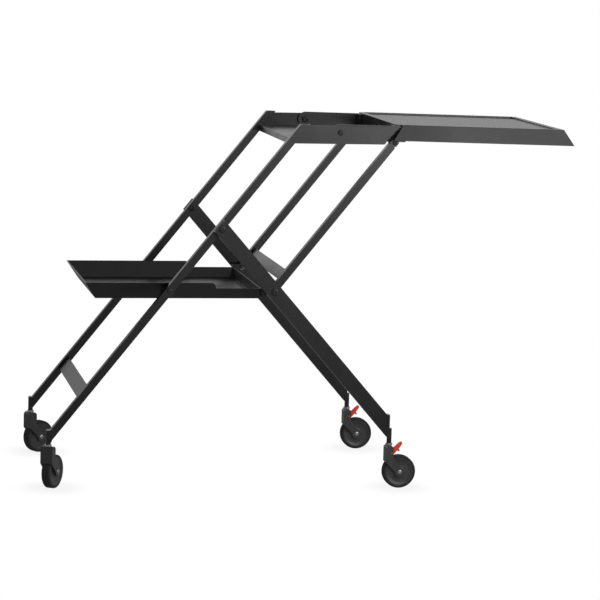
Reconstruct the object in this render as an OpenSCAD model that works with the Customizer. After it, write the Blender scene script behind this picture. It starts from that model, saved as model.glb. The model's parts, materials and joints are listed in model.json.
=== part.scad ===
// Folding serving trolley: crossed side frames, two pressed trays, four casters.
// Millimetres. +Z is up, +X runs towards the long end of the upper tray, -Y is the near side.

/* [Frame] */
// Width over the outer faces of the front legs
frame_w = 430; // [400:1:460]
// Height of the crossing pivot above the floor
pivot_z = 529; // [520:1:540]
// Angle of the rear legs from the floor
rear_angle = 51.5; // [50.5:0.1:52.5]
// Angle of the front legs from the floor
front_angle = 48.9; // [48:0.1:50]
// Distance from the crossing pivot back to the rear caster stems
rear_reach = 337; // [330:1:345]
// Distance from the crossing pivot forward to the front caster stems
front_reach = 356; // [348:1:362]
// Horizontal distance between rear legs and links
link_gap = 210.6; // [205:0.1:216]
// Width and depth of the rear leg and link tubes
bar_w = 15; // [14:0.5:16]
// Width of the front leg tubes
front_w = 30; // [26:1:34]
// Wall thickness of the tubes
tube_wall = 1.5; // [1:0.1:2]

/* [Top frame] */
// Height of the upper edge of the top side plates
plate_top = 735; // [732:1:738]
// Height of the top side plates
plate_h = 36; // [34:1:40]
// Height of the knee pivot below the upper plate edge
knee_drop = 13; // [12:0.5:15]
// Horizontal distance from the rear legs to the knee pivot
knee_x = 86.4809; // [80:0.0001:92]
// Thickness of plates and arms
plate_t = 4; // [3:0.5:4.5]

/* [Trays] */
// Half depth of the upper tray's deck
deck_half_y = 185; // [180:1:188]
// Half depth of the lower tray's floor
tray_half_y = 155; // [145:1:158]
// Outward lean of the tray walls
tray_flare = 23; // [20:1:24]
// Sheet thickness of the trays
sheet = 2; // [1.5:0.1:2.5]
// Height of the upper tray skirt
skirt_h = 31; // [28:1:34]
// Length of the upper tray deck
deck_len = 350; // [335:0.5:360]
// Droop of the upper tray at rest
tray_tilt = 0.9; // [0:0.1:1.2]
// Depth of the upper tray recess
recess = 3.5; // [2.5:0.5:5]
// Depth of the lower tray's underside below its pivots
low_z = 21.2252; // [18:0.0001:25]
// Height of the lower tray walls
low_wall_h = 34.5; // [32:0.5:37]
// Height of the lower tray walls at the front part
low_front_h = 22.5; // [20:0.5:25]
// Length of the lower tray floor
low_len = 333; // [325:1:336]

/* [Casters] */
// Wheel diameter
wheel_d = 68; // [62:1:70]
// Distance from the swivel axis to the axle
trail = 21.5; // [19:0.1:24]
// Width of the wheel
wheel_w = 18; // [16:1:20]
// Turn of the near rear caster at rest
rear_near_turn = 59; // [20:1:70]
// Turn of the far rear caster at rest
rear_far_turn = 30; // [10:1:35]

/* [Hidden] */
$fn = 64;
long = 2400;
centre_x = 184;
run = 0.05;
hair = 0.3;
squeeze = 0.1;
layer_gap = 1;
side_gap = 2;
front_y = frame_w / 2;
bar_y = front_y - bar_w - layer_gap;
bar_in = bar_y - bar_w;
plate_y = bar_in + plate_t;
arm_y = bar_in - side_gap;
arm_in = arm_y - plate_t;
pitch = 1 / tan(rear_angle);
half_x = bar_w / 2 / sin(rear_angle);
low_drop = link_gap / (1 / tan(front_angle) + pitch);
low_x = -low_drop * pitch;
hook_x = low_drop / tan(front_angle);
side_z = pivot_z - low_drop;
knee_z = plate_top - knee_drop;
knee_at = (knee_z - pivot_z) * pitch + knee_x;
plate_z = plate_top - plate_h;
leg_over = 3;
leg_top = plate_top + leg_over;
link_drop = 18;
link_z = knee_z - link_drop;
link_x = link_gap + (link_z - pivot_z) * pitch;
link_under = 6;
plate_gap = 5;
plug_t = 2;
link_plug_t = 1.9;
link_head_d = 10;
link_cap_d = 17.2;
lug_bite = 5;

bolt_d = 8;
bolt_head_d = 15;
small_d = 6;
small_head_d = 12;
head_h = 2.5;
nut_h = 4;
nut_d = 13;
washer_d = 14;
hook_room = 0.6;
hook_d = bolt_d + 2 * hook_room;

shelf_rise = 9;
shelf_gap = 8;
arm_r = 16;
cross_z = plate_z + shelf_rise;
cross_t = 2;
lip_h = 13;
cross_x0 = (cross_z - pivot_z) * pitch;
cross_x1 = knee_at - arm_r - shelf_gap;
strap_t = 2.5;
rear_strap_z = 206;
rear_strap_w = 32;
link_strap_at = 50;
link_strap_w = 25;

deck_rise = 6;
deck_z = plate_top + deck_rise;
arm_end_r = 9;
arm_lap = 20;
deck_past = 6.1987;
deck_x = link_x + deck_past;
skirt_slope = tray_flare / skirt_h;
rim_w = 12;
nose_slope = 0.55;
foot_w = 34;
foot_in = arm_in - foot_w;
hook_reach = 21.1565;
low_x1 = hook_x - hook_reach;
low_x0 = low_x1 - low_len;
wall_slope = tray_flare / low_wall_h;
end_slope = 0.08;
tray_low = side_z - low_z;
low_top = tray_low + low_wall_h;
front_top = tray_low + low_front_h;
step_back = 103;
step_x = low_x1 - step_back;
step_r = low_wall_h - low_front_h;
lug_w = 24;
lug_h = 14;
lug_gap = 4;
lug_y = bar_in - lug_gap;
lug_in = lug_y - plate_t;
lug_edge = 1;
hook_r = 6.6;
hook_lip = 1.5;
hook_h = 14;
hook_lean = 9;

stem_d = 10;
pin_d = 6;
hood_over = 20;
housing_top = wheel_d + hood_over;
flange_h = 4.5;
flange_d = 14;
stem_z = housing_top + flange_h;
socket_h = 35;
socket_cap = 4;
socket_grip = 17;
tongue_w = 9;
stem_top = housing_top + socket_h;
foot_room = 4;
foot_z = stem_z + foot_room;
bracket_t = 6;
rear_cut = 3.3;
front_cut = 6.8;
rear_stem_y = bar_y - bar_w / 2;
front_stem_y = front_y - bar_w / 2;

wheel_r = wheel_d / 2;
tyre_t = 5;
tyre_edge = 1.2;
wheel_gap = 0.6;
fork_t = 3.5;
axle_d = 6;
cap_d = 9;
cap_h = 1;
fork_in = wheel_w / 2 + wheel_gap;
fork_y = fork_in + fork_t;
hood_x = 8;
hood_low = wheel_r + hood_over;
hood_cut = 4;
neck_drop = 24;
hood_gap = 1.5;
neck_z = housing_top - neck_drop;
boss_r = 9.5;
stem_seat = 10;
brake_x = 4;
brake_drop = 15;
brake_z = housing_top - brake_drop;
brake_t = 5;
brake_pin_d = 3;
brake_hub_d = 8;
slot_room = 0.5;
slot_drop = 7;
slot_rise = 6;
slot_mouth = 2.5;
stem_room = 24;
groove_d = 30;
groove_edge = 3;
groove_h = 1.2;

module moved() {
  translate([-centre_x, 0, 0]) children();
}

module pair() {
  children();
  mirror([0, 1, 0]) children();
}

module keep(x0, x1, z0, z1) {
  translate([x0, -long / 2, z0]) cube([x1 - x0, long, z1 - z0]);
}

// Everything to the lower right of a line parallel to the rear legs.
module ahead(dx) {
  translate([dx, 0, pivot_z]) rotate([0, -rear_angle, 0]) translate([-long, -long, -2 * long]) cube(2 * long);
}

// A bar in the near side: y is the distance of its outer face from the middle.
module bar(x, angle, w, y, inset) {
  translate([x, -y + inset, pivot_z]) rotate([0, -angle, 0]) translate([-long / 2, 0, -w / 2 + inset])
    cube([long, bar_w - 2 * inset, w - 2 * inset]);
}

module ypin(x, z, d, y0, y1) {
  translate([x, y0, z]) rotate([-90, 0, 0]) cylinder(h = y1 - y0, d = d);
}

module profile(points, y0, y1) {
  translate([0, y1, 0]) rotate([90, 0, 0]) linear_extrude(height = y1 - y0) polygon(points);
}

module ring(x, z, d, hole, y0, y1) {
  difference() {
    ypin(x, z, d, y0, y1);
    ypin(x, z, hole, y0 - 1, y1 + 1);
  }
}

// Where a leg is cut: next to its caster stem, or sooner where it would come too low.
function foot_x(reach, cut, angle, w) =
  min(reach - cut, (pivot_z - foot_z - w / 2 / cos(angle)) / tan(angle));

// Height of a leg's upper or lower edge.
function edge_z(x, angle, w, side) = pivot_z - x * tan(angle) + side * w / 2 / cos(angle);

// Rear legs
module rear_leg_space() {
  keep(-foot_x(rear_reach, rear_cut, rear_angle, bar_w), long, 0, leg_top);
}

module rear_leg() {
  difference() {
    intersection() {
      bar(0, rear_angle, bar_w, bar_y, 0);
      rear_leg_space();
    }
    bar(0, rear_angle, bar_w, bar_y, tube_wall);
    ypin(0, pivot_z, bolt_d + 2 * run, -front_y, 0);
    ypin(low_x, side_z, small_d + 2 * run, -front_y, 0);
  }
}

module rear_leg_near() {
  color([0.07, 0.07, 0.07]) moved() rear_leg();
}

module rear_leg_far() {
  color([0.07, 0.07, 0.07]) moved() mirror([0, 1, 0]) rear_leg();
}

module rear_leg_plugs() {
  color([0.04, 0.04, 0.04]) moved() pair() intersection() {
    bar(0, rear_angle, bar_w, bar_y, tube_wall);
    keep(0, long, leg_top - plug_t, leg_top);
  }
}

// End plate on a vertically cut leg, with the socket for the caster stem.
module stem_bracket(reach, cut, angle, w, y) {
  face = foot_x(reach, cut, angle, w);
  top = edge_z(face, angle, w, 1);
  low = edge_z(face, angle, w, -1);
  socket_top = min(max(stem_top, low + socket_grip), top);
  difference() {
    union() {
      translate([face, -y, low]) cube([bracket_t, bar_w, top - low]);
      translate([face, -y + (bar_w - tongue_w) / 2, low]) cube([reach - face, tongue_w, bracket_t]);
      translate([reach, -y + bar_w / 2, stem_z]) cylinder(h = socket_top - stem_z, d = stem_d);
    }
    translate([reach, -y + bar_w / 2, 0]) cylinder(h = min(stem_top, top) - socket_cap, d = pin_d + 2 * run);
    translate([face - stem_d, -y, low]) cube([stem_d, bar_w, top - low]);
  }
}

module rear_stem_brackets() {
  color([0.08, 0.08, 0.08]) moved() pair() mirror([1, 0, 0])
    stem_bracket(rear_reach, rear_cut, rear_angle, bar_w, bar_y);
}

module front_stem_brackets() {
  color([0.08, 0.08, 0.08]) moved() pair()
    stem_bracket(front_reach, front_cut, front_angle, front_w, front_y);
}

// Flat strap across the frame, flush with the upper faces of the bars that carry it.
module strap(dx, z, w) {
  translate([dx + (z - pivot_z) * pitch, -bar_in, z]) rotate([0, -rear_angle, 0])
    translate([-w, 0, -strap_t / 2]) cube([w, 2 * bar_in, strap_t]);
}

module rear_leg_strap() {
  color([0.35, 0.35, 0.35]) moved() strap(0, rear_strap_z, rear_strap_w);
}

// Top frame between the rear legs and the links
module top_plate() {
  difference() {
    intersection() {
      translate([0, -plate_y, plate_z]) cube([long, plate_t, plate_h]);
      ahead(half_x);
    }
    ahead(link_gap - half_x - plate_gap);
    ypin(knee_at, knee_z, bolt_d + 2 * run, -front_y, 0);
  }
}

module top_plate_near() {
  color([0.12, 0.12, 0.12]) moved() top_plate();
}

module top_plate_far() {
  color([0.12, 0.12, 0.12]) moved() mirror([0, 1, 0]) top_plate();
}

// Shelf between the side plates, with a turned-down front lip at its rear edge.
module top_cross_plate() {
  lip_z = cross_z - lip_h;
  color([0.3, 0.3, 0.3]) moved() {
    translate([cross_x0, -bar_in, cross_z - cross_t]) cube([cross_x1 - cross_x0, 2 * bar_in, cross_t]);
    translate([cross_x0, -bar_in, lip_z]) cube([cross_t, 2 * bar_in, cross_z - lip_z]);
  }
}

// Front legs
module front_leg() {
  difference() {
    intersection() {
      bar(0, -front_angle, front_w, front_y, 0);
      ahead(-half_x);
      keep(-long, foot_x(front_reach, front_cut, front_angle, front_w), 0, long);
    }
    bar(0, -front_angle, front_w, front_y, tube_wall);
    ypin(0, pivot_z, bolt_d + 2 * run, -front_y - 1, 0);
    ypin(hook_x, side_z, bolt_d + 2 * run, -front_y - 1, 0);
  }
}

module front_leg_near() {
  color([0.07, 0.07, 0.07]) moved() front_leg();
}

module front_leg_far() {
  color([0.07, 0.07, 0.07]) moved() mirror([0, 1, 0]) front_leg();
}

module front_leg_plugs() {
  color([0.04, 0.04, 0.04]) moved() pair() difference() {
    intersection() {
      bar(0, -front_angle, front_w, front_y, tube_wall);
      ahead(-half_x);
    }
    ahead(plug_t - half_x);
  }
}

// Links from the front legs up to the upper tray, round at their tops
module link_space(base) {
  keep(-long, link_x, base, link_z);
  ypin(link_x, link_z, link_cap_d, -front_y, 0);
}

module link() {
  difference() {
    intersection() {
      bar(link_gap, rear_angle, bar_w, bar_y, 0);
      link_space(side_z - link_under);
    }
    bar(link_gap, rear_angle, bar_w, bar_y, tube_wall);
    ypin(hook_x, side_z, bolt_d + 2 * run, -front_y, 0);
    ypin(link_x, link_z, small_d + 2 * run, -front_y, 0);
  }
}

module link_near() {
  color([0.07, 0.07, 0.07]) moved() link();
}

module link_far() {
  color([0.07, 0.07, 0.07]) moved() mirror([0, 1, 0]) link();
}

module link_plugs() {
  color([0.04, 0.04, 0.04]) moved() pair() difference() {
    intersection() {
      bar(link_gap, rear_angle, bar_w, bar_y, tube_wall);
      link_space(side_z - link_under);
    }
    link_space(side_z - link_under + link_plug_t);
    ypin(hook_x, side_z, bolt_d + 2 * run, -front_y, 0);
  }
}

module link_strap() {
  color([0.2, 0.2, 0.2]) moved() strap(link_gap, side_z + link_strap_at * sin(rear_angle), link_strap_w);
}

// Tray body: small side at za, leaning out by k per millimetre of height towards zb.
module flared(x0, x1, y, za, zb, k0, k1, ky) {
  h = abs(zb - za);
  intersection() {
    profile([[x0, za], [x1, za], [x1 + k1 * h, zb], [x0 - k0 * h, zb]], -long / 2, long / 2);
    translate([-long / 2, 0, 0]) rotate([90, 0, 90]) linear_extrude(height = long)
      polygon([[-y, za], [y, za], [y + ky * h, zb], [-y - ky * h, zb]]);
  }
}

// The upper tray and its arms droop a little about the knee.
module drooped() {
  translate([knee_at, 0, knee_z]) rotate([0, tray_tilt, 0]) translate([-knee_at, 0, -knee_z]) children();
}

module upper_tray() {
  under = recess + sheet;
  grow = skirt_slope * under - sheet * sqrt(1 + skirt_slope * skirt_slope);
  nose_grow = nose_slope * under - sheet * sqrt(1 + nose_slope * nose_slope);
  x0 = deck_x - skirt_h;
  x1 = deck_x + deck_len;
  between = 2 * (arm_in - 1);
  color([0.12, 0.12, 0.12]) moved() drooped() {
    difference() {
      flared(x0, x1, deck_half_y, deck_z, deck_z - skirt_h, 0, nose_slope, skirt_slope);
      flared(x0 - 1, x1 + nose_grow, deck_half_y + grow, deck_z - under, deck_z - skirt_h - 1,
        0, nose_slope, skirt_slope);
      translate([deck_x + rim_w, rim_w - deck_half_y, deck_z - recess])
        cube([deck_len - 2 * rim_w, 2 * (deck_half_y - rim_w), recess + 1]);
      translate([x0 - 1, -between / 2, 0]) cube([skirt_h + 1, between, long]);
      difference() {
        keep(x0 - 1, deck_x + skirt_h, 0, long);
        ahead(link_gap - half_x);
        translate([x0 - 1, -between / 2, 0]) cube([long, between, long]);
      }
    }
    translate([deck_x, -between / 2, deck_z - skirt_h]) cube([sheet, between, skirt_h - recess]);
  }
}

// Side arms of the upper tray: round at the knee and at the link, with a foot on the tray's end wall.
module upper_arm() {
  lap_top = deck_z - recess - sheet;
  drooped() difference() {
    union() {
      ypin(knee_at, knee_z, 2 * arm_r, -arm_y, -arm_in);
      translate([knee_at, -arm_y, knee_z - arm_r]) cube([deck_x - knee_at, plate_t, 2 * arm_r]);
      ypin(link_x, link_z, 2 * arm_end_r, -arm_y, -arm_in);
      translate([deck_x - plate_t, -arm_in, knee_z - arm_r]) cube([plate_t, arm_in - foot_in, 2 * arm_r]);
      translate([deck_x, -arm_y, knee_z - arm_r]) cube([arm_lap, plate_t, lap_top - knee_z + arm_r]);
    }
    ypin(knee_at, knee_z, bolt_d + 2 * run, -front_y, 0);
  }
}

module upper_arm_near() {
  color([0.12, 0.12, 0.12]) moved() upper_arm();
}

module upper_arm_far() {
  color([0.12, 0.12, 0.12]) moved() mirror([0, 1, 0]) upper_arm();
}

module lower_blank() {
  flared(low_x0, low_x1, tray_half_y, tray_low, low_top, wall_slope, end_slope, wall_slope);
}

module lower_tray() {
  off = sheet * sqrt(1 + wall_slope * wall_slope);
  grow = wall_slope * sheet - off;
  color([0.09, 0.09, 0.09]) moved() difference() {
    lower_blank();
    flared(low_x0 - grow, low_x1 - sheet, tray_half_y + grow, tray_low + sheet, low_top + 1,
      wall_slope, end_slope, wall_slope);
    difference() {
      keep(step_x, long, front_top, low_top + 1);
      ypin(step_x, front_top, 2 * step_r, -long, long);
    }
  }
}

// Hooks of the lower tray that hang on the studs of the front legs. Each has a foot on the end wall,
// and a leaning flank, because the studs leave downwards and backwards when the tray is lifted.
module tray_hooks() {
  flank = hook_x - hook_d / 2;
  low = side_z - hook_h;
  lip = side_z + hook_lip;
  color([0.09, 0.09, 0.09]) moved() pair() difference() {
    union() {
      ypin(hook_x, side_z, 2 * hook_r, -lug_y, -lug_in);
      translate([low_x1, -lug_y, low]) cube([hook_x - low_x1, lug_y - lug_in, hook_h + hook_r]);
      translate([low_x1, -lug_y, low]) cube([plate_t, lug_y - tray_half_y, hook_h]);
    }
    lower_blank();
    ypin(hook_x, side_z, hook_d, -front_y, 0);
    profile([[flank, lip], [flank, side_z], [flank - hook_lean, low], [long, low], [long, lip]], -front_y, 0);
  }
}

// Lugs of the lower tray on the rear legs.
module tray_lugs() {
  color([0.09, 0.09, 0.09]) moved() pair() difference() {
    translate([low_x - lug_w / 2, -lug_y, side_z - lug_h])
      cube([lug_w, lug_y - tray_half_y, lug_h + small_d / 2 + lug_edge]);
    lower_blank();
    ypin(low_x, side_z, small_d + 2 * run, -lug_y - 1, -lug_y + lug_bite);
  }
}

// Fasteners
module bolt(x, z, d, head_d, face, end) {
  ypin(x, z, d, -face, -end);
  ypin(x, z, head_d, -face - head_h, -face);
}

module crossing_bolts() {
  color([0.1, 0.1, 0.1]) moved() pair() {
    bolt(0, pivot_z, bolt_d, bolt_head_d, front_y, bar_in);
    ypin(0, pivot_z, nut_d, -bar_in, -bar_in + nut_h);
  }
}

module crossing_washers() {
  color([0.75, 0.75, 0.72]) moved() pair()
    ring(0, pivot_z, washer_d, bolt_d + 2 * run, -bar_y - layer_gap, -bar_y);
}

module hook_bolts() {
  color([0.1, 0.1, 0.1]) moved() pair() bolt(hook_x, side_z, bolt_d, bolt_head_d, front_y, lug_in - 1);
}

module hook_washers() {
  color([0.75, 0.75, 0.72]) moved() pair() {
    ring(hook_x, side_z, washer_d - 2, bolt_d + 2 * run, -bar_y - layer_gap, -bar_y);
    ring(hook_x, side_z, washer_d - 2, bolt_d + 2 * run, -bar_in, -lug_y - hair);
  }
}

module tray_bolts() {
  color([0.1, 0.1, 0.1]) moved() pair()
    bolt(low_x, side_z, small_d, small_head_d, bar_y, lug_y - lug_bite + hair);
}

module tray_washers() {
  color([0.75, 0.75, 0.72]) moved() pair()
    ring(low_x, side_z, washer_d - 2, small_d + 2 * run, -bar_in, -lug_y);
}

module knee_bolts() {
  color([0.1, 0.1, 0.1]) moved() pair() {
    bolt(knee_at, knee_z, bolt_d, small_head_d, plate_y, arm_in - hair);
    ypin(knee_at, knee_z, nut_d, -arm_in + hair, -arm_in + hair + nut_h);
  }
}

module knee_washers() {
  color([0.75, 0.75, 0.72]) moved() pair() ring(knee_at, knee_z, washer_d, bolt_d + 2 * run, -bar_in, -arm_y);
}

module link_bolts() {
  color([0.1, 0.1, 0.1]) moved() pair() bolt(link_x, link_z, small_d, link_head_d, bar_y, arm_y + hair);
}

// Casters, drawn round their own swivel axis with the wheel towards +X
module caster_stem() {
  color([0.6, 0.6, 0.6]) {
    translate([0, 0, housing_top - stem_seat]) cylinder(h = stem_seat + stem_room, d = pin_d);
    translate([0, 0, housing_top]) cylinder(h = flange_h, d = flange_d);
  }
}

// Outline of the fork's arms: a round boss at the axle, and a neck up to the hood.
module fork_arms() {
  neck = [[-hood_x, hood_low], [trail - boss_r, wheel_r], [trail + boss_r, wheel_r], [hood_x, neck_z]];
  pair() {
    profile(concat(neck, [[hood_x, housing_top - hood_cut], [-hood_x, housing_top - hood_cut]]),
      -fork_y, -fork_in);
    ypin(trail, wheel_r, 2 * boss_r, -fork_y, -fork_in);
  }
}

module fork_hood() {
  shoulder = housing_top - hood_cut;
  crown = hood_x - hood_cut;
  top = [[hood_x, shoulder], [crown, housing_top], [-crown, housing_top], [-hood_x, shoulder]];
  difference() {
    profile(concat([[-hood_x, hood_low], [hood_x, hood_low]], top), -fork_y, fork_y);
    ypin(trail, wheel_r, wheel_d + 2 * hood_gap, -fork_in, fork_in);
  }
}

// Room for the brake lever: open towards the front and above.
module brake_slot() {
  back = brake_x - brake_hub_d / 2 - slot_room;
  low = brake_z - slot_drop;
  mouth = hood_x - slot_mouth;
  half = brake_t / 2 + hair;
  profile([[back, low], [long, low], [long, long], [mouth, long], [mouth, brake_z + slot_rise],
    [back, brake_z + slot_rise]], -half, half);
}

module caster_housing(brake) {
  color([0.05, 0.05, 0.05]) difference() {
    union() {
      fork_hood();
      fork_arms();
    }
    translate([0, 0, housing_top - stem_seat]) cylinder(h = stem_seat + 1, d = pin_d + 2 * run);
    ypin(trail, wheel_r, axle_d + 2 * run, -fork_y - 1, fork_y + 1);
    if (brake) {
      brake_slot();
      ypin(brake_x, brake_z, brake_pin_d + 2 * run, -fork_y - 1, fork_y + 1);
    }
  }
}

module caster_rim() {
  rim = wheel_r - tyre_t;
  face = wheel_w / 2;
  color([0.06, 0.06, 0.06]) difference() {
    ypin(trail, wheel_r, 2 * rim, -face, face);
    ypin(trail, wheel_r, axle_d + 2 * run, -face - 1, face + 1);
    pair() ring(trail, wheel_r, 2 * (rim - groove_edge), groove_d, -face - 1, -face + groove_h);
  }
}

module caster_tyre() {
  inner = wheel_r - tyre_t - squeeze;
  edge = wheel_r - tyre_edge;
  tread = [[wheel_r, tyre_edge], [wheel_r, wheel_w - tyre_edge], [edge, wheel_w]];
  color([0.03, 0.03, 0.03]) translate([trail, wheel_w / 2, wheel_r]) rotate([90, 0, 0])
    rotate_extrude() polygon(concat([[inner, 0], [edge, 0]], tread, [[inner, wheel_w]]));
}

module caster_axle() {
  color([0.75, 0.75, 0.75]) {
    ypin(trail, wheel_r, axle_d, -fork_y, fork_y);
    pair() ypin(trail, wheel_r, cap_d, -fork_y - cap_h, -fork_y);
  }
}

module caster_brake() {
  blade = [[0, 4], [1, -3.8], [8, -3], [18, 9], [24, 18], [22, 22.5], [17, 20]];
  prong = [[9, 7], [17, 1.5], [19.5, 4.5], [11, 12]];
  color([0.8, 0.12, 0.08]) translate([brake_x, 0, brake_z]) {
    profile(blade, -brake_t / 2, brake_t / 2);
    profile(prong, -brake_t / 2, brake_t / 2);
    ypin(0, 0, brake_hub_d, -brake_t / 2, brake_t / 2);
    ypin(0, 0, brake_pin_d, -fork_y, fork_y);
  }
}

module at_rn() {
  translate([-rear_reach - centre_x, -rear_stem_y, 0]) rotate([0, 0, rear_near_turn]) children();
}

module at_rf() {
  translate([-rear_reach - centre_x, rear_stem_y, 0]) rotate([0, 0, rear_far_turn]) children();
}

module at_fn() {
  translate([front_reach - centre_x, -front_stem_y, 0]) children();
}

module at_ff() {
  translate([front_reach - centre_x, front_stem_y, 0]) children();
}

module rn_stem() {
  at_rn() caster_stem();
}

module rn_housing() {
  at_rn() caster_housing(false);
}

module rn_rim() {
  at_rn() caster_rim();
}

module rn_tyre() {
  at_rn() caster_tyre();
}

module rn_axle() {
  at_rn() caster_axle();
}

module rf_stem() {
  at_rf() caster_stem();
}

module rf_housing() {
  at_rf() caster_housing(false);
}

module rf_rim() {
  at_rf() caster_rim();
}

module rf_tyre() {
  at_rf() caster_tyre();
}

module rf_axle() {
  at_rf() caster_axle();
}

module fn_stem() {
  at_fn() caster_stem();
}

module fn_housing() {
  at_fn() caster_housing(true);
}

module fn_rim() {
  at_fn() caster_rim();
}

module fn_tyre() {
  at_fn() caster_tyre();
}

module fn_axle() {
  at_fn() caster_axle();
}

module fn_brake() {
  at_fn() caster_brake();
}

module ff_stem() {
  at_ff() caster_stem();
}

module ff_housing() {
  at_ff() caster_housing(true);
}

module ff_rim() {
  at_ff() caster_rim();
}

module ff_tyre() {
  at_ff() caster_tyre();
}

module ff_axle() {
  at_ff() caster_axle();
}

module ff_brake() {
  at_ff() caster_brake();
}

rear_leg_near();
rear_leg_far();
rear_leg_plugs();
rear_stem_brackets();
rear_leg_strap();
top_plate_near();
top_plate_far();
top_cross_plate();
front_leg_near();
front_leg_far();
front_leg_plugs();
front_stem_brackets();
link_near();
link_far();
link_plugs();
link_strap();
upper_tray();
upper_arm_near();
upper_arm_far();
lower_tray();
tray_hooks();
tray_lugs();
crossing_bolts();
crossing_washers();
hook_bolts();
hook_washers();
tray_bolts();
tray_washers();
knee_bolts();
knee_washers();
link_bolts();
rn_stem();
rn_housing();
rn_rim();
rn_tyre();
rn_axle();
rf_stem();
rf_housing();
rf_rim();
rf_tyre();
rf_axle();
fn_stem();
fn_housing();
fn_rim();
fn_tyre();
fn_axle();
fn_brake();
ff_stem();
ff_housing();
ff_rim();
ff_tyre();
ff_axle();
ff_brake();
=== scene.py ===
"""Folding serving trolley: finishes, edges and fine pieces, with a pale floor, lamps and a camera."""

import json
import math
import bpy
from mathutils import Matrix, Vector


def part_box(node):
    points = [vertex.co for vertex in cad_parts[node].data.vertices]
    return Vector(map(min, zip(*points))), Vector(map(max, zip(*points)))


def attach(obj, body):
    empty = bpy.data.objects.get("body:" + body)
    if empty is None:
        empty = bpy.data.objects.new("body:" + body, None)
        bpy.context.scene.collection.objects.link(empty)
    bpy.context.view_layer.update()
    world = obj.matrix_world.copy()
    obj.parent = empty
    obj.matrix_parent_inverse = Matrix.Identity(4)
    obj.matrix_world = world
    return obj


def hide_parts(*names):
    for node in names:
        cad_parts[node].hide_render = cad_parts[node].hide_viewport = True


bl_info = {
    "name": "Folding serving trolley",
    "version": (1, 0, 0),
    "blender": (4, 5, 0),
    "location": "View3D > Sidebar > Trolley",
    "description": "Gives the packed trolley its finishes, its fine pieces and a stage",
    "category": "Object",
}

from typing import NamedTuple

import bmesh
import bpy
from bpy.props import FloatProperty, FloatVectorProperty, PointerProperty
from mathutils import Matrix, Vector

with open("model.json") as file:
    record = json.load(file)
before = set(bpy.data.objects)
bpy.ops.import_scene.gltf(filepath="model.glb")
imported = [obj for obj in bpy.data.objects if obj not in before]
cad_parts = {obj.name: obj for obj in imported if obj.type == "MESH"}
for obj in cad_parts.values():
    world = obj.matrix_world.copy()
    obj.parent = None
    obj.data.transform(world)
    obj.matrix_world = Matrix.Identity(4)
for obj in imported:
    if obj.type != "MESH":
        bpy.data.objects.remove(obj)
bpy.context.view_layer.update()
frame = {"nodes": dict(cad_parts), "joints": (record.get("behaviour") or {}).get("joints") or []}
NODES = frame["nodes"]
JOINTS = {joint["name"]: joint for joint in frame["joints"]}
CASTERS = ("rn", "rf", "fn", "ff")
BRAKED = ("fn", "ff")
SIDES = (-1, 1)
MM = 0.001

# Edges: faces this close are joined, and angles from which an edge counts as flat, round or sharp
JOIN_GAP = 0.002 * MM
FLAT_WITHIN = math.radians(0.5)
BEVEL_FROM = math.radians(35)
SHARP_FROM = math.radians(38)
BEVEL_STEPS = 3

# Bolts and nuts, in mm, and the socket's share of the head
HEAD_HEIGHT = 2.5
SOCKET_DEPTH = 1.5
SOCKET_SHARE = 0.36
SHANK_CHAMFER = 0.6
NUT_HEIGHT = 4
NUT_RADIUS = 6.5

# Weld beads: sizes in mm, shares of the radius, and the turn of the ripple from ring to ring
BEAD_RADIUS = 1.1
BEAD_PITCH = 0.8
BEAD_RIPPLE = 0.18
BEAD_TIP = 0.5
RIPPLE_TURN = 2.4
BEAD_SIDES = 8

# Rivets: how far the feet reach from the knee's pivot and from the hooks' rear end, and a head, in mm
ARM_FOOT_REACH = 112
HOOK_FOOT_REACH = 4
RIVET = ((2.6, -0.4), (2.6, 0.2), (2.2, 0.8), (1.3, 1.2), (0, 1.35))

# Camera: the sensor in mm, and how far it sees in metres
SENSOR_WIDTH = 36
VIEW_END = 500


def colour(name, what, value):
    """A colour that a user can change."""
    return FloatVectorProperty(
        name=name, description=what, subtype="COLOR", size=3, min=0, max=1, default=value
    )


def length(name, what, value, top):
    """A size in metres that a user can change."""
    return FloatProperty(
        name=name, description=what, unit="LENGTH", min=0, max=top, default=value, precision=5
    )


def amount(name, what, value, top=1.0):
    """A plain number that a user can change."""
    return FloatProperty(name=name, description=what, min=0, max=top, default=value)


class TrolleyFinish(bpy.types.PropertyGroup):
    """Colours of the trolley's pieces."""

    tube_paint: colour("Tube paint", "Powder coat of the tubes and plates", (0.007, 0.007, 0.0068))
    tray_paint: colour("Tray paint", "Powder coat of the two trays", (0.008, 0.008, 0.0077))
    plug_plastic: colour("Plugs", "Plastic of the tube plugs", (0.01, 0.01, 0.01))
    bolt_black: colour("Bolts", "Blackened bolts and nuts", (0.01, 0.01, 0.01))
    nylon: colour("Washers", "Nylon washers between the layers", (0.35, 0.34, 0.32))
    zinc: colour("Zinc", "Plated stems and axles", (0.42, 0.42, 0.43))
    hood_plastic: colour("Caster plastic", "Caster housings and wheels", (0.034, 0.034, 0.035))
    tyre_rubber: colour("Tyres", "Rubber of the tyres", (0.02, 0.02, 0.021))
    brake_red: colour("Brake red", "Plastic of the brake levers", (0.8, 0.17, 0.15))
    tube_gloss: amount("Tube roughness", "Roughness of the tube paint", 0.29)
    tray_gloss: amount("Tray roughness", "Roughness of the upper tray's paint", 0.27)
    low_gloss: amount("Lower tray roughness", "Roughness of the lower tray's paint", 0.42)


class TrolleyDetail(bpy.types.PropertyGroup):
    """Sizes of the fine detail."""

    tube_edge: length("Tube edge", "Radius of the tube edges", 0.0012, 0.005)
    plate_edge: length("Plate edge", "Radius of the plate edges", 0.0006, 0.005)
    sheet_edge: length("Sheet edge", "Radius of the folded sheet edges", 0.0008, 0.005)
    small_edge: length("Small edge", "Radius on bolts and other small pieces", 0.0004, 0.005)
    paint_grain: length("Paint grain", "Size of the powder coat's grain", 0.0011, 0.01)


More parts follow.
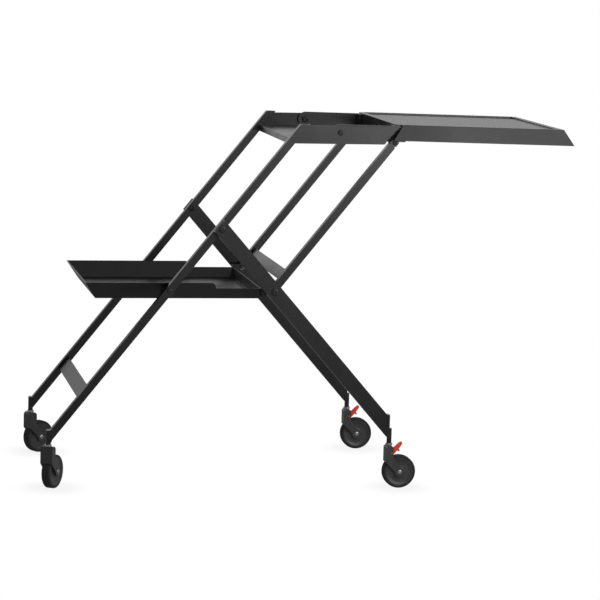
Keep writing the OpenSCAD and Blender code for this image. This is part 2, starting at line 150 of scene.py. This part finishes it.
class TrolleyStage(bpy.types.PropertyGroup):
    """Floor, lamps and camera."""

    floor_grey: colour("Floor", "Colour of the floor, for the light that it throws back", (0.4, 0.4, 0.4))
    floor_dim: amount("Floor near", "Brightness of the near floor in reflections", 0.3)
    floor_glow: amount("Floor far away", "Brightness of the floor far away in reflections", 0.8)
    # The shade at the wheels is partly painted: round the wheels' places at rest the white floor is mixed
    # towards the lit grey floor, which is darker than white and also shows the real shadows.
    floor_shade: amount("Floor shade", "How much of the real shade shows at the wheels", 0.12)
    floor_reach: length("Floor size", "Half width of the floor", 80.0, 200.0)
    key_power: amount("Key power", "Power of the lamp at the upper right, in watts", 42.0, 1000.0)
    side_power: amount("Skirt power", "Power of the lamp above the long end, in watts", 3.5, 1000.0)
    top_power: amount("Top power", "Power of the large lamp above, in watts", 4.0, 1000.0)
    sky: amount("Sky", "Light of the room on dull surfaces", 0.3, 5.0)
    room_dim: amount("Room in reflections", "Brightness of the dim part of the room", 0.12, 5.0)
    room_glow: amount("Backdrop in reflections", "Brightness of the backdrop in reflections", 1.15, 5.0)
    room_foot: amount("Backdrop foot", "Share of that brightness just above the floor", 0.12)
    camera_at: FloatVectorProperty(
        name="Camera", description="Place of the camera", subtype="TRANSLATION", size=3,
        unit="LENGTH", default=(-1.05415, -5.42368, 1.11875),
    )
    yaw: FloatProperty(
        name="Yaw", description="Turn of the camera to the right", subtype="ANGLE",
        default=math.radians(11.2033),
    )
    pitch: FloatProperty(
        name="Pitch", description="Tilt of the camera upwards", subtype="ANGLE",
        default=math.radians(-7.847),
    )
    roll: FloatProperty(
        name="Roll", description="Turn of the camera about its view", subtype="ANGLE",
        default=math.radians(1.6414),
    )
    reach: amount("Focal length", "Focal length in picture widths", 4.45406, 20.0)


def finish():
    """The user's colours."""
    return bpy.context.scene.trolley_finish


def detail():
    """The user's detail sizes."""
    return bpy.context.scene.trolley_detail


def stage():
    """The user's stage settings."""
    return bpy.context.scene.trolley_stage


class Recipe:
    """A material, built node by node round one Principled shader."""

    def __init__(self, name, rough, metal=0.0):
        self.material = bpy.data.materials.new(name)
        self.material.use_nodes = True
        self.tree = self.material.node_tree
        self.shader = self.tree.nodes["Principled BSDF"]
        self.shader.inputs["Roughness"].default_value = rough
        self.shader.inputs["Metallic"].default_value = metal
        self.place = self.tree.nodes.new("ShaderNodeTexCoord").outputs["Object"]

    def node(self, kind, **settings):
        """A new node with the given settings."""
        made = self.tree.nodes.new(kind)
        for key, value in settings.items():
            setattr(made, key, value)
        return made

    def join(self, source, target):
        """Feeds one socket from another."""
        self.tree.links.new(source, target)

    def noise(self, grain, fine, rough=0.5, stretch=(1, 1, 1)):
        """Noise whose spots are about grain metres wide, with fine octaves of smaller ones."""
        mapping = self.node("ShaderNodeMapping")
        mapping.inputs["Scale"].default_value = stretch
        self.join(self.place, mapping.inputs["Vector"])
        made = self.node("ShaderNodeTexNoise")
        made.inputs["Scale"].default_value = 1 / grain
        made.inputs["Detail"].default_value = fine
        made.inputs["Roughness"].default_value = rough
        self.join(mapping.outputs["Vector"], made.inputs["Vector"])
        return made.outputs["Fac"]

    def spread(self, source, low, high, start=0.3, end=0.7):
        """The source's middle range as values from low to high."""
        made = self.node("ShaderNodeMapRange")
        made.inputs["From Min"].default_value = start
        made.inputs["From Max"].default_value = end
        made.inputs["To Min"].default_value = low
        made.inputs["To Max"].default_value = high
        self.join(source, made.inputs["Value"])
        return made.outputs["Result"]

    def tint(self, source, dark, pale):
        """Base colour between two colours, after the source."""
        made = self.node("ShaderNodeMix", data_type="RGBA")
        made.inputs["A"].default_value = (*dark, 1)
        made.inputs["B"].default_value = (*pale, 1)
        self.join(source, made.inputs["Factor"])
        self.join(made.outputs["Result"], self.shader.inputs["Base Color"])

    def rough(self, source):
        """Roughness after the source."""
        self.join(source, self.shader.inputs["Roughness"])

    def bump(self, source, height, strength):
        """Relief after the source, of the given height in metres."""
        made = self.node("ShaderNodeBump")
        made.inputs["Distance"].default_value = height
        made.inputs["Strength"].default_value = strength
        self.join(source, made.inputs["Height"])
        self.join(made.outputs["Normal"], self.shader.inputs["Normal"])


def scaled(shade, factor):
    """A colour made lighter or darker."""
    return tuple(min(1.0, part * factor) for part in shade)


def powder_coat(name, shade, rough, grain, peel=0.006):
    """Satin powder coat: fine grain, soft waves and small changes of gloss."""
    fine_share = 0.35
    recipe = Recipe(name, rough)
    cloud = recipe.noise(grain=0.09, fine=3)
    specks = recipe.noise(grain=grain, fine=2)
    wave = recipe.noise(grain=peel, fine=1)
    recipe.tint(recipe.spread(cloud, low=0, high=1), dark=scaled(shade, 0.85), pale=scaled(shade, 1.2))
    recipe.rough(recipe.spread(cloud, low=rough - 0.04, high=rough + 0.05))
    both = recipe.node("ShaderNodeMath", operation="MULTIPLY_ADD")
    both.inputs[1].default_value = fine_share
    recipe.join(specks, both.inputs[0])
    recipe.join(wave, both.inputs[2])
    recipe.bump(both.outputs[0], height=0.00004, strength=0.35)
    return recipe.material


def moulded_plastic(name, shade, rough, grain=0.0006, height=0.00004):
    """Moulded plastic with a fine spark-eroded grain."""
    recipe = Recipe(name, rough)
    cloud = recipe.noise(grain=0.02, fine=2)
    specks = recipe.noise(grain=grain, fine=1)
    recipe.tint(recipe.spread(cloud, low=0, high=1), dark=scaled(shade, 0.88), pale=scaled(shade, 1.15))
    recipe.rough(recipe.spread(cloud, low=rough - 0.05, high=rough + 0.05))
    recipe.bump(specks, height=height, strength=0.5)
    return recipe.material


def rubber(name, shade):
    """Dull rubber with a little dust in its grain."""
    recipe = Recipe(name, rough=0.7)
    dust = recipe.noise(grain=0.006, fine=4, rough=0.65)
    specks = recipe.noise(grain=0.0005, fine=1)
    share = recipe.spread(dust, low=0, high=1, start=0.45, end=0.75)
    recipe.tint(share, dark=shade, pale=scaled(shade, 2.2))
    recipe.rough(recipe.spread(dust, low=0.62, high=0.82))
    recipe.bump(specks, height=0.00005, strength=0.5)
    return recipe.material


def plated_steel(name, shade, rough=0.32):
    """Zinc plating with drawn lines round the turned parts."""
    recipe = Recipe(name, rough, metal=1.0)
    lines = recipe.noise(grain=0.004, fine=2, rough=0.6, stretch=(1, 1, 12))
    recipe.tint(recipe.spread(lines, low=0, high=1), dark=scaled(shade, 0.8), pale=scaled(shade, 1.1))
    recipe.rough(recipe.spread(lines, low=rough - 0.06, high=rough + 0.12))
    recipe.bump(lines, height=0.00002, strength=0.4)
    return recipe.material


def black_steel(name, shade):
    """Oiled black oxide on bolts and nuts."""
    recipe = Recipe(name, rough=0.5)
    spots = recipe.noise(grain=0.002, fine=3)
    recipe.tint(recipe.spread(spots, low=0, high=1), dark=scaled(shade, 0.7), pale=scaled(shade, 1.5))
    recipe.rough(recipe.spread(spots, low=0.42, high=0.6))
    recipe.bump(spots, height=0.00002, strength=0.3)
    return recipe.material


def material(name):
    """The named finish, made on first use."""
    known = bpy.data.materials.get(name)
    if known:
        return known
    look, grain = finish(), detail().paint_grain
    tray_peel = 0.009
    recipes = {
        "tube_paint": lambda: powder_coat(name, look.tube_paint, look.tube_gloss, grain),
        "tray_paint": lambda: powder_coat(name, look.tray_paint, look.tray_gloss, grain, tray_peel),
        "low_tray_paint": lambda: powder_coat(name, look.tray_paint, look.low_gloss, grain, tray_peel),
        "plug_plastic": lambda: moulded_plastic(name, look.plug_plastic, rough=0.5),
        "bolt_steel": lambda: black_steel(name, look.bolt_black),
        "washer_nylon": lambda: moulded_plastic(name, look.nylon, rough=0.45),
        "zinc": lambda: plated_steel(name, look.zinc),
        "hood_plastic": lambda: moulded_plastic(name, look.hood_plastic, rough=0.42),
        "tyre_rubber": lambda: rubber(name, look.tyre_rubber),
        "brake_red": lambda: moulded_plastic(name, look.brake_red, rough=0.3, grain=0.0008, height=0.00002),
    }
    return recipes[name]()


def dress(node, paint, edge):
    """Gives a CAD node its finish, rounds its edges and keeps its flat faces flat to the eye."""
    part = NODES[node]
    part.data.materials.clear()
    part.data.materials.append(material(paint))
    weld = part.modifiers.new("join", "WELD")
    weld.merge_threshold = JOIN_GAP
    flat = part.modifiers.new("flat", "DECIMATE")
    flat.decimate_type = "DISSOLVE"
    flat.angle_limit = FLAT_WITHIN
    bevel = part.modifiers.new("edge", "BEVEL")
    bevel.width = edge
    bevel.segments = BEVEL_STEPS
    bevel.limit_method = "ANGLE"
    bevel.angle_limit = BEVEL_FROM
    shade = part.modifiers.new("shade", "WEIGHTED_NORMAL")
    shade.weight = 100
    shade.keep_sharp = False


def ring_point(radius, height, share, hexagon):
    """The point at a share of the way round a ring, or round the hexagon outside it. Sizes in mm."""
    angle = 2 * math.pi * share
    far = radius * MM
    if hexagon:
        far /= math.cos((angle + math.pi / 6) % (math.pi / 3) - math.pi / 6)
    return Vector((far * math.cos(angle), far * math.sin(angle), height * MM))


def rings(sheet, rows, place, count=48):
    """Adds a turned piece. A row is a radius and a height in mm, then True where it is a hexagon."""
    made = []
    for radius, height, *hexagon in rows:
        if not radius:
            made.append([sheet.verts.new(place @ Vector((0, 0, height * MM)))])
            continue
        made.append([
            sheet.verts.new(place @ ring_point(radius, height, step / count, hexagon))
            for step in range(count)
        ])
    for low, high in zip(made, made[1:]):
        for step in range(count):
            after = (step + 1) % count
            ends = [low[step % len(low)], low[after % len(low)]]
            ends += [high[after % len(high)], high[step % len(high)]]
            corners = list(dict.fromkeys(ends))
            if len(corners) > 2:
                sheet.faces.new(corners)


def bead(sheet, start, end):
    """Adds a weld bead along a line: a rounded ridge with ripples and thin ends."""
    along = (end - start).normalized()
    side = along.orthogonal().normalized()
    up = along.cross(side)
    steps = max(4, int((end - start).length / (BEAD_PITCH * MM)))
    before = None
    for step in range(steps + 1):
        swell = 1 - BEAD_RIPPLE + BEAD_RIPPLE * math.sin(step * RIPPLE_TURN)
        thick = BEAD_RADIUS * MM * swell * (BEAD_TIP if step in (0, steps) else 1)
        middle = start.lerp(end, step / steps)
        ring = [
            sheet.verts.new(middle + thick * (math.cos(turn) * side + math.sin(turn) * up))
            for turn in (2 * math.pi * k / BEAD_SIDES for k in range(BEAD_SIDES))
        ]
        if before:
            for k in range(BEAD_SIDES):
                after = (k + 1) % BEAD_SIDES
                sheet.faces.new((before[k], before[after], ring[after], ring[k]))
        else:
            sheet.faces.new(ring)
        before = ring
    sheet.faces.new(before)


def piece(sheet, name, paint, body, slot, *nodes):
    """Makes an object of the mesh, which rides on a body and may stand for CAD nodes."""
    bmesh.ops.recalc_face_normals(sheet, faces=sheet.faces)
    mesh = bpy.data.meshes.new(name)
    sheet.to_mesh(mesh)
    sheet.free()
    mesh.shade_smooth()
    mesh.set_sharp_from_angle(angle=SHARP_FROM)
    mesh.materials.append(material(paint))
    made = bpy.data.objects.new(name, mesh)
    bpy.context.scene.collection.objects.link(made)
    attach(made, body)
    if nodes:
        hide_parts(*nodes)


def sideways(x, z, side):
    """A place on the trolley's middle plane whose own Z points out of one side."""
    turn = Matrix.Rotation(-side * math.pi / 2, 4, "X")
    return Matrix.Translation((x, 0, z)) @ turn


def middle_of(node):
    """Middle of a CAD node's box, across and up."""
    low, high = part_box(node)
    return (low[0] + high[0]) / 2, (low[2] + high[2]) / 2


def inner_end(node):
    """Least distance from the trolley's middle plane to a CAD node, in mm."""
    part = NODES[node]
    return min(abs((part.matrix_world @ corner.co).y) for corner in part.data.vertices) / MM


def both_faces(profile):
    """A closed turned outline from the one of its upper half."""
    under = [(radius, -height) for radius, height in reversed(profile) if height]
    return (*profile, *under, profile[0])


class StepOperator:
    """Shared settings of the trolley's operators."""

    bl_options = {"REGISTER", "UNDO"}


class TROLLEY_OT_tubes(StepOperator, bpy.types.Operator):
    """Paints the legs, links, straps and end plates, and rounds their edges"""

    bl_idname = "trolley.tubes"
    bl_label = "Tubes and straps"

    def execute(self, context):
        size = detail()
        for tube in ("rear_leg", "front_leg", "link"):
            for side in ("near", "far"):
                dress(f"{tube}_{side}", "tube_paint", size.tube_edge)
        for node in ("rear_leg_strap", "link_strap", "rear_stem_brackets", "front_stem_brackets"):
            dress(node, "tube_paint", size.plate_edge)
        for node in ("rear_leg_plugs", "front_leg_plugs", "link_plugs"):
            dress(node, "plug_plastic", size.small_edge)
        return {"FINISHED"}


class TROLLEY_OT_top_frame(StepOperator, bpy.types.Operator):
    """Paints the top side plates, their shelf and the arms of the upper tray"""

    bl_idname = "trolley.top_frame"
    bl_label = "Top frame"

    def execute(self, context):
        plates = ("top_plate_near", "top_plate_far", "top_cross_plate")
        for node in (*plates, "upper_arm_near", "upper_arm_far"):
            dress(node, "tube_paint", detail().plate_edge)
        return {"FINISHED"}


class TROLLEY_OT_trays(StepOperator, bpy.types.Operator):
    """Paints the two trays with their hooks and lugs"""

    bl_idname = "trolley.trays"
    bl_label = "Trays"

    def execute(self, context):
        size = detail()
        dress("upper_tray", "tray_paint", size.sheet_edge)
        dress("lower_tray", "low_tray_paint", size.sheet_edge)
        for node in ("tray_hooks", "tray_lugs"):
            dress(node, "tube_paint", size.small_edge)
        return {"FINISHED"}


class TROLLEY_OT_washers(StepOperator, bpy.types.Operator):
    """Finishes the washers between the layers"""

    bl_idname = "trolley.washers"
    bl_label = "Washers"

    def execute(self, context):
        for name in ("crossing", "hook", "tray", "knee"):
            dress(f"{name}_washers", "washer_nylon", detail().small_edge / 2)
        return {"FINISHED"}


class Bolt(NamedTuple):
    """A bolt node with one bolt at each side. The radii are in mm."""

    node: str
    body: str
    shank: float
    head: float
    nut: bool = False


class TROLLEY_OT_bolts(StepOperator, bpy.types.Operator):
    """Builds the pivot bolts with domed heads and hexagon sockets, and their lock nuts"""

    bl_idname = "trolley.bolts"
    bl_label = "Domed bolts and nuts"

    plans = (
        Bolt("crossing_bolts", "rear_frame", shank=4, head=7.5, nut=True),
        Bolt("knee_bolts", "rear_frame", shank=4, head=6, nut=True),
        Bolt("tray_bolts", "rear_frame", shank=3, head=6),
        Bolt("hook_bolts", "front_frame", shank=4, head=7.5),
        Bolt("link_bolts", "link_frame", shank=3, head=5),
    )

    def execute(self, context):
        for plan in self.plans:
            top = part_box(plan.node)[1][1] / MM
            end = inner_end(plan.node) + (NUT_HEIGHT if plan.nut else 0)
            sheet = bmesh.new()
            for side in SIDES:
                place = sideways(*middle_of(plan.node), side)
                rings(sheet, self.bolt(plan.shank, plan.head, top, end), place)
                if plan.nut:
                    rings(sheet, self.nut(plan.shank, end), place)
            piece(sheet, f"domed_{plan.node}", "bolt_steel", plan.body, "black_bolt", plan.node)
        return {"FINISHED"}

    def bolt(self, shank, head, top, end):
        """Dome with a hexagon socket, then the shank with its chamfer."""
        face, socket, floor = top - HEAD_HEIGHT, head * SOCKET_SHARE, top - SOCKET_DEPTH
        dome = ((head * 0.72, top - 0.35), (head * 0.9, top - 0.95), (head * 0.985, top - 1.7))
        return (
            (0, floor), (socket, floor, True), (socket, top, True), (socket * 1.3, top), *dome,
            (head, top - 2.2), (head, face), (shank, face), (shank, end + 0.7),
            (shank - SHANK_CHAMFER, end), (0, end),
        )

    def nut(self, shank, end):
        """Hexagon nut with a nylon collar, turned away from the plates."""
        low, flat = end - NUT_HEIGHT, NUT_RADIUS
        collar = ((flat - 0.6, low + 1.1), (flat - 0.9, low + 0.3), (flat - 1.4, low))
        return (
            (shank, end), (flat - 0.5, end), (flat, end - 0.4, True), (flat, low + 1.5, True), *collar,
            (shank, low), (shank, end),
        )


class TROLLEY_OT_joints(StepOperator, bpy.types.Operator):
    """Adds the weld beads at the straps and the rivets in the feet of the arms and hooks"""

    bl_idname = "trolley.joints"
    bl_label = "Welds and rivets"

    # Places of the rivets, out from the middle plane and up from the floor, in mm
    arm_spots = ((151, 712), (151, 728), (168, 712), (168, 728))
    hook_spots = ((162, 393), (172, 397))

    def execute(self, context):
        self.welds("rear_leg_strap", "rear_frame")
        self.welds("link_strap", "link_frame")
        arm_face = JOINTS["knee_fold"]["pos_m"][0] + ARM_FOOT_REACH * MM
        hook_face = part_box("tray_hooks")[0][0] + HOOK_FOOT_REACH * MM
        self.rivets("arm_rivets", "top_tray", arm_face, -1, self.arm_spots)
        self.rivets("hook_rivets", "bottom_tray", hook_face, 1, self.hook_spots)
        return {"FINISHED"}

    def welds(self, strap, body):
        """Beads along the upper and the lower edge at each end of a leaning strap."""
        low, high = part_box(strap)
        close, across, up = 1 * MM, 2.6 * MM, 2.4 * MM
        upper = (low[0] + close, low[2] + up), (high[0] - across, high[2] - close)
        lower = (low[0] + across, low[2] + close), (high[0] - close, high[2] - up)
        sheet = bmesh.new()
        for y in (low[1], high[1]):
            for (foot_x, foot_z), (head_x, head_z) in (upper, lower):
                bead(sheet, Vector((foot_x, y, foot_z)), Vector((head_x, y, head_z)))
        piece(sheet, f"{strap}_welds", "tube_paint", body, "black_frame")

    def rivets(self, name, body, face, way, spots):
        """Domed rivets on an upright face that looks forwards (way 1) or backwards (-1)."""
        turn = Matrix.Rotation(way * math.pi / 2, 4, "Y")
        sheet = bmesh.new()
        for y, z in spots:
            for side in SIDES:
                rings(sheet, RIVET, Matrix.Translation((face, side * y * MM, z * MM)) @ turn, count=24)
        piece(sheet, name, "bolt_steel", body, "black_bolt")


class TROLLEY_OT_wheels(StepOperator, bpy.types.Operator):
    """Builds the wheels: dished rims, tyres with round shoulders and axles with domed caps"""

    bl_idname = "trolley.wheels"
    bl_label = "Wheels"

    # A hub, a dished web and a rounded outer ring
    rim = (
        (3.05, 9), (8, 9), (8.7, 8.7), (9, 8), (9.6, 7.7), (13, 7.4), (20, 7.4), (24, 7.7),
        (25.2, 8.5), (26, 8.9), (28.3, 9), (29, 8.4),
    )
    # Round shoulders, and a thin parting groove round the tread
    tyre = (
        (28.9, 8.6), (29.4, 9), (31, 9), (32.3, 8.7), (33.2, 8), (33.8, 6.8), (34, 5.2),
        (34, 0.25), (33.85, 0),
    )
    # A domed cap outside the fork, then the pin
    axle = ((0, 14.1), (2.4, 14), (3.8, 13.8), (4.4, 13.4), (4.5, 13.1), (3, 13.1))

    def execute(self, context):
        for caster in CASTERS:
            joint = JOINTS[f"{caster}_roll"]
            turn = Vector(joint["axis"]).to_track_quat("Z", "Y").to_matrix().to_4x4()
            place = Matrix.Translation(Vector(joint["pos_m"])) @ turn
            for part, rows, count, paint, slot in (
                ("rim", both_faces(self.rim), 72, "hood_plastic", "caster_plastic"),
                ("tyre", both_faces(self.tyre), 96, "tyre_rubber", "tyre_rubber"),
                ("axle", both_faces(self.axle)[:-1], 72, "zinc", "caster_steel"),
            ):
                sheet = bmesh.new()
                rings(sheet, rows, place, count)
                piece(sheet, f"{caster}_{part}_turned", paint, f"{caster}_wheel", slot, f"{caster}_{part}")
        return {"FINISHED"}


class TROLLEY_OT_casters(StepOperator, bpy.types.Operator):
    """Finishes the caster forks, their stems and the two brake levers"""

    bl_idname = "trolley.casters"
    bl_label = "Caster forks and brakes"

    def execute(self, context):
        size = detail()
        for caster in CASTERS:
            dress(f"{caster}_stem", "zinc", size.small_edge)
            dress(f"{caster}_housing", "hood_plastic", size.plate_edge)
        for caster in BRAKED:
            dress(f"{caster}_brake", "brake_red", size.plate_edge)
        return {"FINISHED"}


class Nodes:
    """Small maker of value nodes in a tree."""

    def __init__(self, tree):
        self.tree = tree

    def feed(self, socket, value):
        """Joins a socket to another one, or sets its value."""
        if isinstance(value, bpy.types.NodeSocket):
            self.tree.links.new(value, socket)
        else:
            socket.default_value = value

    def maths(self, operation, first, second):
        """The result of a sum on two values."""
        made = self.tree.nodes.new("ShaderNodeMath")
        made.operation = operation
        self.feed(made.inputs[0], first)
        self.feed(made.inputs[1], second)
        return made.outputs[0]

    def ramp(self, value, start, end, low=0.0, high=1.0):
        """The value between start and end as a soft step from low to high."""
        made = self.tree.nodes.new("ShaderNodeMapRange")
        made.interpolation_type = "SMOOTHSTEP"
        for index, part in enumerate((value, start, end, low, high)):
            self.feed(made.inputs[index], part)
        return made.outputs["Result"]

    def seen(self):
        """1 for what the camera sees, also through glass."""
        path = self.tree.nodes.new("ShaderNodeLightPath")
        return self.maths("MAXIMUM", path.outputs["Is Camera Ray"], path.outputs["Is Transmission Ray"])

    def distance(self, first, second):
        """The distance between two places."""
        made = self.tree.nodes.new("ShaderNodeVectorMath")
        made.operation = "DISTANCE"
        self.feed(made.inputs[0], first)
        self.feed(made.inputs[1], second)
        return made.outputs["Value"]

    def mix(self, share, first, second):
        """The first shader, or the second one where the share is 1."""
        made = self.tree.nodes.new("ShaderNodeMixShader")
        self.feed(made.inputs["Fac"], share)
        self.feed(made.inputs[1], first)
        self.feed(made.inputs[2], second)
        return made.outputs["Shader"]


class TROLLEY_OT_stage(StepOperator, bpy.types.Operator):
    """Lays the pale floor and sets the plain room light"""

    bl_idname = "trolley.stage"
    bl_label = "Floor and room"

    # Distances on the floor, in metres: of the painted shade from a wheel's place at rest, and of the glow
    # from the trolley
    shade_core, shade_edge = 0.015, 0.09
    near_floor, far_floor = 1.0, 5.0
    # Where the backdrop starts and is full, as parts of a direction backwards and up
    back_start, back_full = -0.1, 0.75
    foot_start, foot_end = 0.08, 0.25
    glow_full, glow_end = 0.4, 0.7
    dark_start, dark_full = 0.5, 0.8
    dark_share = 1 / 4

    def execute(self, context):
        self.floor()
        self.room(context.scene)
        return {"FINISHED"}

    def floor(self):
        """A floor that looks white, with a faint shade painted round the wheels, where the lit floor and
        its real shadows show.
        """
        sheet = bmesh.new()
        bmesh.ops.create_grid(sheet, x_segments=1, y_segments=1, size=stage().floor_reach)
        mesh = bpy.data.meshes.new("floor")
        sheet.to_mesh(mesh)
        sheet.free()
        ground = bpy.data.objects.new("floor", mesh)
        bpy.context.scene.collection.objects.link(ground)
        paint = bpy.data.materials.new("floor_white")
        paint.use_nodes = True
        tree = paint.node_tree
        maker = Nodes(tree)
        dull = tree.nodes["Principled BSDF"]
        dull.inputs["Base Color"].default_value = (*stage().floor_grey, 1)
        dull.inputs["Roughness"].default_value = 0.9
        dull.inputs["Specular IOR Level"].default_value = 0.1
        white = tree.nodes.new("ShaderNodeEmission")
        place = tree.nodes.new("ShaderNodeNewGeometry").outputs["Position"]
        # Painted shade: within a few centimetres of each wheel's place at rest the floor is mixed towards
        # its lit grey, so a faint dark spot shows there; the real shadows of the lit floor show in it too.
        shade = 0.0
        for caster in CASTERS:
            low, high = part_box(f"{caster}_tyre")
            contact = ((low[0] + high[0]) / 2, (low[1] + high[1]) / 2, 0)
            spot = maker.ramp(maker.distance(place, contact), self.shade_edge, self.shade_core)
            shade = maker.maths("MAXIMUM", shade, spot)
        plain = maker.maths("SUBTRACT", 1.0, maker.maths("MULTIPLY", shade, stage().floor_shade))
        share = maker.maths("MULTIPLY", maker.seen(), plain)
        sheen = tree.nodes.new("ShaderNodeEmission")
        out = maker.distance(place, (0, 0, 0))
        glow = maker.ramp(out, self.near_floor, self.far_floor, stage().floor_dim, stage().floor_glow)
        tree.links.new(glow, sheen.inputs["Strength"])
        path = tree.nodes.new("ShaderNodeLightPath")
        lit = maker.mix(path.outputs["Is Glossy Ray"], dull.outputs["BSDF"], sheen.outputs["Emission"])
        surface = maker.mix(share, lit, white.outputs["Emission"])
        tree.links.new(surface, tree.nodes["Material Output"].inputs["Surface"])
        mesh.materials.append(paint)

    def room(self, scene):
        """White to the eye, soft and dim on dull surfaces, pale only at the back in reflections."""
        world = bpy.data.worlds.new("room")
        scene.world = world
        world.use_nodes = True
        tree = world.node_tree
        tree.nodes.clear()
        maker = Nodes(tree)
        axes = tree.nodes.new("ShaderNodeSeparateXYZ")
        tree.links.new(tree.nodes.new("ShaderNodeTexCoord").outputs["Generated"], axes.inputs[0])
        behind, above = axes.outputs["Y"], axes.outputs["Z"]
        back = maker.ramp(behind, self.back_start, self.back_full)
        foot = maker.ramp(above, self.foot_start, self.foot_end, stage().room_foot, 1.0)
        low = maker.maths("MULTIPLY", foot, maker.ramp(above, self.glow_end, self.glow_full))
        glow = maker.maths("MULTIPLY", back, low)
        path = tree.nodes.new("ShaderNodeLightPath")
        dark = stage().room_dim * self.dark_share
        dim = maker.ramp(above, self.dark_start, self.dark_full, stage().room_dim, dark)
        reflected = maker.maths("ADD", dim, maker.maths("MULTIPLY", glow, stage().room_glow))
        soft = tree.nodes.new("ShaderNodeBackground")
        soft.inputs["Strength"].default_value = stage().sky
        mirror = tree.nodes.new("ShaderNodeBackground")
        tree.links.new(reflected, mirror.inputs["Strength"])
        white = tree.nodes.new("ShaderNodeBackground")
        for light in (mirror, white):
            light.inputs["Color"].default_value = (1, 1, 1, 1)
        glossy = path.outputs["Is Glossy Ray"]
        lit = maker.mix(glossy, soft.outputs["Background"], mirror.outputs["Background"])
        surface = maker.mix(maker.seen(), lit, white.outputs["Background"])
        tree.links.new(surface, tree.nodes.new("ShaderNodeOutputWorld").inputs["Surface"])
        scene.view_settings.view_transform = "Standard"


class Lamp(NamedTuple):
    """A flat lamp: its place, the place it is aimed at, and its width and height, in metres."""

    name: str
    place: tuple
    aim: tuple
    size: tuple
    power: str


class TROLLEY_OT_lamps(StepOperator, bpy.types.Operator):
    """Hangs a key lamp at the upper right, a small lamp over the long end and a soft one above"""

    bl_idname = "trolley.lamps"
    bl_label = "Lamps"

    plans = (
        Lamp("key_lamp", (1.35, -1.9, 1.35), (0.45, 0, 0.75), (2.2, 1.8), "key_power"),
        Lamp("skirt_lamp", (0.85, -0.75, 2.0), (0.4, -0.1, 0.72), (0.65, 0.8), "side_power"),
        Lamp("top_lamp", (-0.4, -0.6, 2.6), (0, 0, 0.4), (3.0, 2.4), "top_power"),
    )

    def execute(self, context):
        for plan in self.plans:
            light = bpy.data.lights.new(plan.name, "AREA")
            light.shape = "RECTANGLE"
            light.size, light.size_y = plan.size
            light.energy = getattr(stage(), plan.power)
            lamp = bpy.data.objects.new(plan.name, light)
            lamp.location = plan.place
            lamp.visible_camera = False
            lamp.rotation_mode = "QUATERNION"
            lamp.rotation_quaternion = (Vector(plan.aim) - Vector(plan.place)).to_track_quat("-Z", "Y")
            context.scene.collection.objects.link(lamp)
        return {"FINISHED"}


class TROLLEY_OT_camera(StepOperator, bpy.types.Operator):
    """Puts the camera where the photograph was taken from"""

    bl_idname = "trolley.camera"
    bl_label = "Camera"

    def execute(self, context):
        plan = stage()
        ahead = Vector((
            math.sin(plan.yaw) * math.cos(plan.pitch),
            math.cos(plan.yaw) * math.cos(plan.pitch),
            math.sin(plan.pitch),
        ))
        level = Vector((math.cos(plan.yaw), -math.sin(plan.yaw), 0))
        upright = level.cross(ahead)
        right = level * math.cos(plan.roll) + upright * math.sin(plan.roll)
        up = upright * math.cos(plan.roll) - level * math.sin(plan.roll)
        lens = bpy.data.cameras.new("camera")
        lens.sensor_width = SENSOR_WIDTH
        lens.lens = lens.sensor_width * plan.reach
        lens.clip_end = VIEW_END
        eye = bpy.data.objects.new("camera", lens)
        turn = Matrix((right, up, -ahead)).transposed()
        eye.matrix_world = Matrix.Translation(Vector(plan.camera_at)) @ turn.to_4x4()
        context.scene.collection.objects.link(eye)
        context.scene.camera = eye
        return {"FINISHED"}


STEPS = (
    TROLLEY_OT_camera,
    TROLLEY_OT_tubes,
    TROLLEY_OT_top_frame,
    TROLLEY_OT_trays,
    TROLLEY_OT_washers,
    TROLLEY_OT_bolts,
    TROLLEY_OT_joints,
    TROLLEY_OT_casters,
    TROLLEY_OT_wheels,
    TROLLEY_OT_stage,
    TROLLEY_OT_lamps,
)


class TROLLEY_PT_panel(bpy.types.Panel):
    """Lists the trolley's steps and settings"""

    bl_idname = "TROLLEY_PT_panel"
    bl_label = "Serving trolley"
    bl_space_type = "VIEW_3D"
    bl_region_type = "UI"
    bl_category = "Trolley"

    def draw(self, context):
        for step in STEPS:
            self.layout.operator(step.bl_idname)
        for group in (finish(), detail(), stage()):
            box = self.layout.box()
            for key in group.__annotations__:
                box.prop(group, key)


CLASSES = (TrolleyFinish, TrolleyDetail, TrolleyStage, *STEPS, TROLLEY_PT_panel)


def register():
    """Adds the classes and the scene's settings."""
    for kind in CLASSES:
        bpy.utils.register_class(kind)
    bpy.types.Scene.trolley_finish = PointerProperty(type=TrolleyFinish)
    bpy.types.Scene.trolley_detail = PointerProperty(type=TrolleyDetail)
    bpy.types.Scene.trolley_stage = PointerProperty(type=TrolleyStage)


def unregister():
    """Takes the scene's settings and the classes away."""
    del bpy.types.Scene.trolley_stage
    del bpy.types.Scene.trolley_detail
    del bpy.types.Scene.trolley_finish
    for kind in reversed(CLASSES):
        bpy.utils.unregister_class(kind)


def main():
    """Runs every step in order."""
    register()
    for step in STEPS:
        group, name = step.bl_idname.split(".")
        getattr(getattr(bpy.ops, group), name)()


if __name__ == "__main__":
    main()
